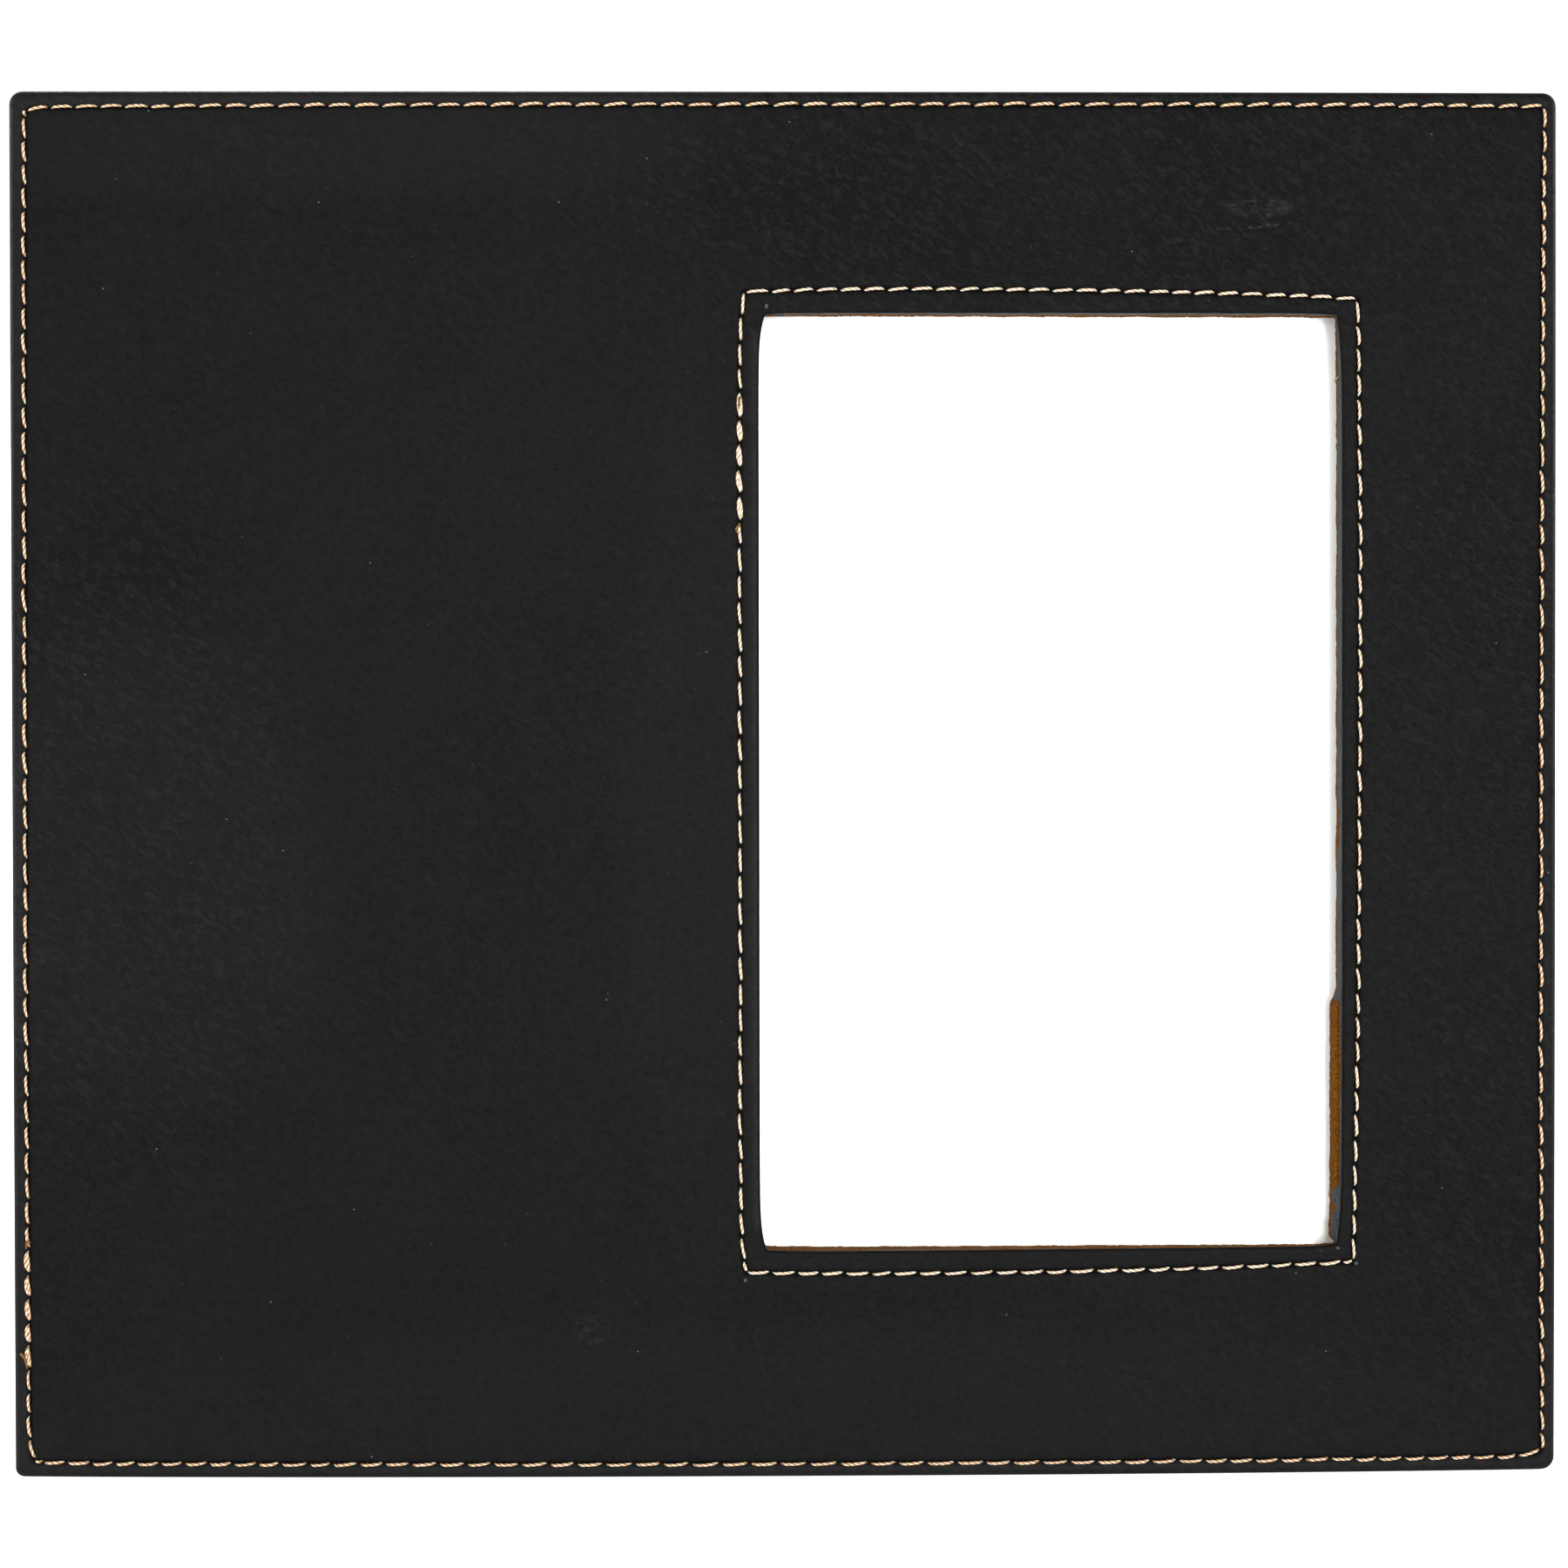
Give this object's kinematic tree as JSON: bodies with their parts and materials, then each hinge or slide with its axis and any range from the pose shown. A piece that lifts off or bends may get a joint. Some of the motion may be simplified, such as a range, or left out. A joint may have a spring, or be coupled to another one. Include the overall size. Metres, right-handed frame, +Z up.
{
  "type": "leatherette photo frame",
  "caption": "Black leatherette photo frame with contrast stitching and a tall window right of centre, on an easel strut.",
  "frame": {"origin": "on the table, under the middle of the standing frame with its strut open", "axes": "+X to the right along the long side as seen from the front, -Y the way the front looks, +Z up"},
  "size_m": [0.2326, 0.0732, 0.2045],
  "materials": {
    "leatherette": "grained, satin",
    "fibreboard": "raw, fibrous",
    "card": "matte",
    "tan_thread": "twisted thread",
    "cream_thread": "twisted thread",
    "glass": "clear",
    "white_insert": "smooth, matte",
    "black_board": "black paper, lightly grained",
    "brass": "satin, slightly dull"
  },
  "bodies": {
    "root": {"front_cover": "leatherette", "core_board": "fibreboard", "outer_stitching": "tan_thread", "window_stitching": "cream_thread", "rear_rim": "fibreboard", "filler_board": "card", "glass_pane": "glass", "photo_insert": "white_insert", "back_panel": "black_board", "hinge_leaf_fixed": "brass", "hinge_pin": "brass", "hinge_rivet_1": "brass", "hinge_rivet_2": "brass", "hinge_rivet_3": "brass", "turn_button_screw_1": "brass", "turn_button_screw_2": "brass", "turn_button_screw_3": "brass", "turn_button_screw_4": "brass", "turn_button_screw_5": "brass", "turn_button_screw_6": "brass"},
    "strut": {"easel_strut": "black_board", "hinge_leaf_moving": "brass", "hinge_rivet_4": "brass", "hinge_rivet_5": "brass", "hinge_rivet_6": "brass"},
    "button_1": {"turn_button_1": "brass"},
    "button_2": {"turn_button_2": "brass"},
    "button_3": {"turn_button_3": "brass"},
    "button_4": {"turn_button_4": "brass"},
    "button_5": {"turn_button_5": "brass"},
    "button_6": {"turn_button_6": "brass"}
  },
  "joints": [
    {"name": "strut_hinge", "type": "hinge", "parent": "root", "child": "strut", "pos_m": [0, 0.00676, 0.12371], "axis": [1, 0, 0], "range_deg": [-27, 0]},
    {"name": "button_1_turn", "type": "hinge", "parent": "root", "child": "button_1", "pos_m": [-0.06, 0.02221, 0.19273], "axis": [0, 0.9703, -0.2419], "continuous": true},
    {"name": "button_2_turn", "type": "hinge", "parent": "root", "child": "button_2", "pos_m": [0.06, 0.02221, 0.19273], "axis": [0, 0.9703, -0.2419], "continuous": true},
    {"name": "button_3_turn", "type": "hinge", "parent": "root", "child": "button_3", "pos_m": [0.1068, -0.00067, 0.10093], "axis": [0, 0.9703, -0.2419], "continuous": true},
    {"name": "button_4_turn", "type": "hinge", "parent": "root", "child": "button_4", "pos_m": [0.06, -0.02356, 0.00915], "axis": [0, 0.9703, -0.2419], "continuous": true},
    {"name": "button_5_turn", "type": "hinge", "parent": "root", "child": "button_5", "pos_m": [-0.06, -0.02356, 0.00915], "axis": [0, 0.9703, -0.2419], "continuous": true},
    {"name": "button_6_turn", "type": "hinge", "parent": "root", "child": "button_6", "pos_m": [-0.1068, -0.00067, 0.10093], "axis": [0, 0.9703, -0.2419], "continuous": true}
  ]
}
